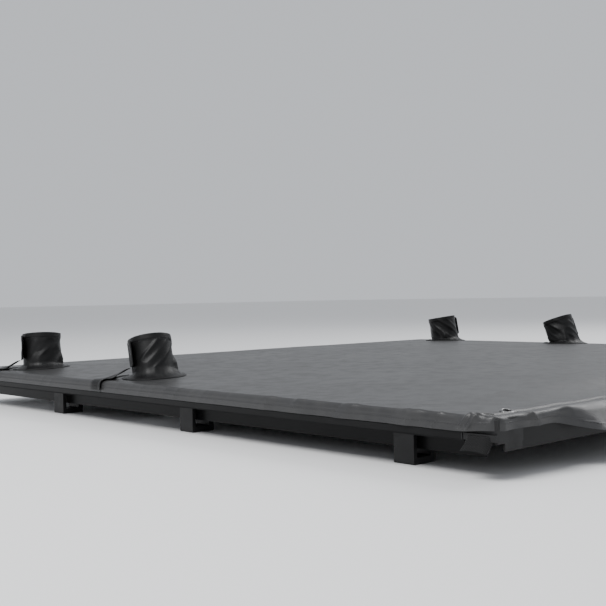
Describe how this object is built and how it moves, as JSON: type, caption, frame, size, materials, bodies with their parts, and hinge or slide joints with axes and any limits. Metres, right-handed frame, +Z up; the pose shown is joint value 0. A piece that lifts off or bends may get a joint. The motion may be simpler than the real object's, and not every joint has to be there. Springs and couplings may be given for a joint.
{
  "type": "tonneau cover",
  "caption": "Soft roll-up load bed cover for a pickup, with side rails, arched bows, clamps and sleeved boots where a sports bar's legs pass through.",
  "frame": {"origin": "under the middle of the cover, at the height of its lowest pieces (the clamps' bottom faces); the truck's bed rails are 52 mm above it", "axes": "+Z up, +Y towards the cab, +X towards the truck's right-hand side"},
  "size_m": [1.6654, 1.54, 0.175],
  "materials": {
    "rail_metal": "black anodised extrusion",
    "fitting_plastic": "black glass-filled nylon",
    "seal_rubber": "closed-cell EPDM foam",
    "hook_and_loop": "black hook-and-loop tape",
    "bow_metal": "mill-finish aluminium tube",
    "zinc_steel": "bright zinc plate",
    "cover_vinyl": "leather-grain PVC-coated polyester, satin",
    "boot_vinyl": "leather-grain PVC-coated polyester, satin",
    "clamp_metal": "black powder coat, satin",
    "pad_rubber": "moulded rubber swivel pad",
    "webbing": "black woven polyester webbing",
    "eyelet_metal": "nickel-plated pressed eyelet"
  },
  "bodies": {
    "frame": {"left_side_rail": "rail_metal", "right_side_rail": "rail_metal", "front_rail": "rail_metal", "front_left_corner_bracket": "fitting_plastic", "front_right_corner_bracket": "fitting_plastic", "rear_left_rail_cap": "fitting_plastic", "rear_right_rail_cap": "fitting_plastic", "rail_seals": "seal_rubber", "rail_loop_strips": "hook_and_loop", "bow_1": "bow_metal", "bow_2": "bow_metal", "bow_3": "bow_metal", "bow_4": "bow_metal", "bow_end_fittings": "fitting_plastic", "frame_screws": "zinc_steel", "front_cover_sheet": "cover_vinyl", "front_hook_strips": "hook_and_loop", "front_left_leg_boot": "boot_vinyl", "front_right_leg_boot": "boot_vinyl", "rear_left_leg_boot": "boot_vinyl", "rear_right_leg_boot": "boot_vinyl", "left_clamp_frames": "clamp_metal", "right_clamp_frames": "clamp_metal"},
    "roll_section_1": {"roll_panel_1": "cover_vinyl", "roll_panel_1_hook_strips": "hook_and_loop"},
    "roll_section_2": {"roll_panel_2": "cover_vinyl", "roll_panel_2_hook_strips": "hook_and_loop", "rolling_bow": "bow_metal", "rolling_bow_end_fittings": "fitting_plastic"},
    "roll_section_3": {"roll_panel_3": "cover_vinyl", "roll_panel_3_hook_strips": "hook_and_loop"},
    "roll_section_4": {"roll_panel_4": "cover_vinyl", "roll_panel_4_hook_strips": "hook_and_loop", "rear_bar": "rail_metal", "rear_bar_end_caps": "fitting_plastic", "rear_bar_seal": "seal_rubber", "corner_eyelets": "eyelet_metal"},
    "left_tab": {"left_pull_tab": "webbing"},
    "right_tab": {"right_pull_tab": "webbing"},
    "front_left_boot_closure": {"front_left_boot_flap": "boot_vinyl"},
    "front_left_slit_closure": {"front_left_slit_flap": "boot_vinyl"},
    "front_right_boot_closure": {"front_right_boot_flap": "boot_vinyl"},
    "front_right_slit_closure": {"front_right_slit_flap": "boot_vinyl"},
    "rear_left_boot_closure": {"rear_left_boot_flap": "boot_vinyl"},
    "rear_left_slit_closure": {"rear_left_slit_flap": "boot_vinyl"},
    "rear_right_boot_closure": {"rear_right_boot_flap": "boot_vinyl"},
    "rear_right_slit_closure": {"rear_right_slit_flap": "boot_vinyl"},
    "left_pad_1": {"left_clamp_pad_1": "pad_rubber"},
    "left_bolt_1": {"left_clamp_bolt_1": "zinc_steel"},
    "left_pad_2": {"left_clamp_pad_2": "pad_rubber"},
    "left_bolt_2": {"left_clamp_bolt_2": "zinc_steel"},
    "left_pad_3": {"left_clamp_pad_3": "pad_rubber"},
    "left_bolt_3": {"left_clamp_bolt_3": "zinc_steel"},
    "right_pad_1": {"right_clamp_pad_1": "pad_rubber"},
    "right_bolt_1": {"right_clamp_bolt_1": "zinc_steel"},
    "right_pad_2": {"right_clamp_pad_2": "pad_rubber"},
    "right_bolt_2": {"right_clamp_bolt_2": "zinc_steel"},
    "right_pad_3": {"right_clamp_pad_3": "pad_rubber"},
    "right_bolt_3": {"right_clamp_bolt_3": "zinc_steel"}
  },
  "joints": [
    {"name": "cover_roll_1", "type": "hinge", "parent": "frame", "child": "roll_section_1", "pos_m": [0, -0.15, 0.1025], "axis": [-1, 0, 0], "range_deg": [0, 90]},
    {"name": "cover_roll_2", "type": "hinge", "parent": "roll_section_1", "child": "roll_section_2", "pos_m": [0, -0.32, 0.1025], "axis": [-1, 0, 0], "range_deg": [0, 90]},
    {"name": "cover_roll_3", "type": "hinge", "parent": "roll_section_2", "child": "roll_section_3", "pos_m": [0, -0.52, 0.1025], "axis": [-1, 0, 0], "range_deg": [0, 90]},
    {"name": "cover_roll_4", "type": "hinge", "parent": "roll_section_3", "child": "roll_section_4", "pos_m": [0, -0.615, 0.1025], "axis": [-1, 0, 0], "range_deg": [0, 90]},
    {"name": "left_tab_swing", "type": "hinge", "parent": "roll_section_4", "child": "left_tab", "pos_m": [-0.8303, -0.746, 0.058], "axis": [0, 1, 0], "range_deg": [0, 80]},
    {"name": "right_tab_swing", "type": "hinge", "parent": "roll_section_4", "child": "right_tab", "pos_m": [0.8303, -0.746, 0.058], "axis": [0, -1, 0], "range_deg": [0, 80]},
    {"name": "front_left_boot_flap_open", "type": "hinge", "parent": "frame", "child": "front_left_boot_closure", "pos_m": [-0.7703, 0.6069, 0.13405], "axis": [-0.0691, -0.1388, -0.9879], "range_deg": [-3, 50]},
    {"name": "front_left_slit_flap_lift", "type": "hinge", "parent": "frame", "child": "front_left_slit_closure", "pos_m": [-0.808, 0.658, 0.08775], "axis": [-1, 0, 0], "range_deg": [0, 90]},
    {"name": "front_right_boot_flap_open", "type": "hinge", "parent": "frame", "child": "front_right_boot_closure", "pos_m": [0.7703, 0.6069, 0.13405], "axis": [-0.0691, 0.1388, 0.9879], "range_deg": [-3, 50]},
    {"name": "front_right_slit_flap_lift", "type": "hinge", "parent": "frame", "child": "front_right_slit_closure", "pos_m": [0.808, 0.658, 0.08775], "axis": [-1, 0, 0], "range_deg": [0, 90]},
    {"name": "rear_left_boot_flap_open", "type": "hinge", "parent": "frame", "child": "rear_left_boot_closure", "pos_m": [-0.77067, 0.15823, 0.12967], "axis": [-0.0664, -0.3083, -0.949], "range_deg": [-3, 50]},
    {"name": "rear_left_slit_flap_lift", "type": "hinge", "parent": "frame", "child": "rear_left_slit_closure", "pos_m": [-0.808, 0.202, 0.08791], "axis": [-1, 0, 0], "range_deg": [0, 90]},
    {"name": "rear_right_boot_flap_open", "type": "hinge", "parent": "frame", "child": "rear_right_boot_closure", "pos_m": [0.77067, 0.15823, 0.12967], "axis": [-0.0664, 0.3083, 0.949], "range_deg": [-3, 50]},
    {"name": "rear_right_slit_flap_lift", "type": "hinge", "parent": "frame", "child": "rear_right_slit_closure", "pos_m": [0.808, 0.202, 0.08791], "axis": [-1, 0, 0], "range_deg": [0, 90]},
    {"name": "left_clamp_1_pad_slide", "type": "slide", "parent": "frame", "child": "left_pad_1", "axis": [1, 0, 0], "range_m": [0, 0.0075]},
    {"name": "left_clamp_1_bolt_turn", "type": "hinge", "parent": "left_pad_1", "child": "left_bolt_1", "pos_m": [-0.745, -0.58, 0.03], "axis": [1, 0, 0], "range_deg": [0, 2160]},
    {"name": "left_clamp_2_pad_slide", "type": "slide", "parent": "frame", "child": "left_pad_2", "axis": [1, 0, 0], "range_m": [0, 0.0075]},
    {"name": "left_clamp_2_bolt_turn", "type": "hinge", "parent": "left_pad_2", "child": "left_bolt_2", "pos_m": [-0.745, -0.06, 0.03], "axis": [1, 0, 0], "range_deg": [0, 2160]},
    {"name": "left_clamp_3_pad_slide", "type": "slide", "parent": "frame", "child": "left_pad_3", "axis": [1, 0, 0], "range_m": [0, 0.0075]},
    {"name": "left_clamp_3_bolt_turn", "type": "hinge", "parent": "left_pad_3", "child": "left_bolt_3", "pos_m": [-0.745, 0.4, 0.03], "axis": [1, 0, 0], "range_deg": [0, 2160]},
    {"name": "right_clamp_1_pad_slide", "type": "slide", "parent": "frame", "child": "right_pad_1", "axis": [-1, 0, 0], "range_m": [0, 0.0075]},
    {"name": "right_clamp_1_bolt_turn", "type": "hinge", "parent": "right_pad_1", "child": "right_bolt_1", "pos_m": [0.745, -0.58, 0.03], "axis": [-1, 0, 0], "range_deg": [0, 2160]},
    {"name": "right_clamp_2_pad_slide", "type": "slide", "parent": "frame", "child": "right_pad_2", "axis": [-1, 0, 0], "range_m": [0, 0.0075]},
    {"name": "right_clamp_2_bolt_turn", "type": "hinge", "parent": "right_pad_2", "child": "right_bolt_2", "pos_m": [0.745, -0.06, 0.03], "axis": [-1, 0, 0], "range_deg": [0, 2160]},
    {"name": "right_clamp_3_pad_slide", "type": "slide", "parent": "frame", "child": "right_pad_3", "axis": [-1, 0, 0], "range_m": [0, 0.0075]},
    {"name": "right_clamp_3_bolt_turn", "type": "hinge", "parent": "right_pad_3", "child": "right_bolt_3", "pos_m": [0.745, 0.4, 0.03], "axis": [-1, 0, 0], "range_deg": [0, 2160]}
  ],
  "couplings": [
    {"joint": "cover_roll_2", "follows": "cover_roll_1", "ratio": 1},
    {"joint": "cover_roll_3", "follows": "cover_roll_1", "ratio": 1},
    {"joint": "cover_roll_4", "follows": "cover_roll_1", "ratio": 1},
    {"joint": "left_clamp_1_bolt_turn", "follows": "left_clamp_1_pad_slide", "rad_per_m": 5026.5},
    {"joint": "left_clamp_2_bolt_turn", "follows": "left_clamp_2_pad_slide", "rad_per_m": 5026.5},
    {"joint": "left_clamp_3_bolt_turn", "follows": "left_clamp_3_pad_slide", "rad_per_m": 5026.5},
    {"joint": "right_clamp_1_bolt_turn", "follows": "right_clamp_1_pad_slide", "rad_per_m": 5026.5},
    {"joint": "right_clamp_2_bolt_turn", "follows": "right_clamp_2_pad_slide", "rad_per_m": 5026.5},
    {"joint": "right_clamp_3_bolt_turn", "follows": "right_clamp_3_pad_slide", "rad_per_m": 5026.5}
  ]
}
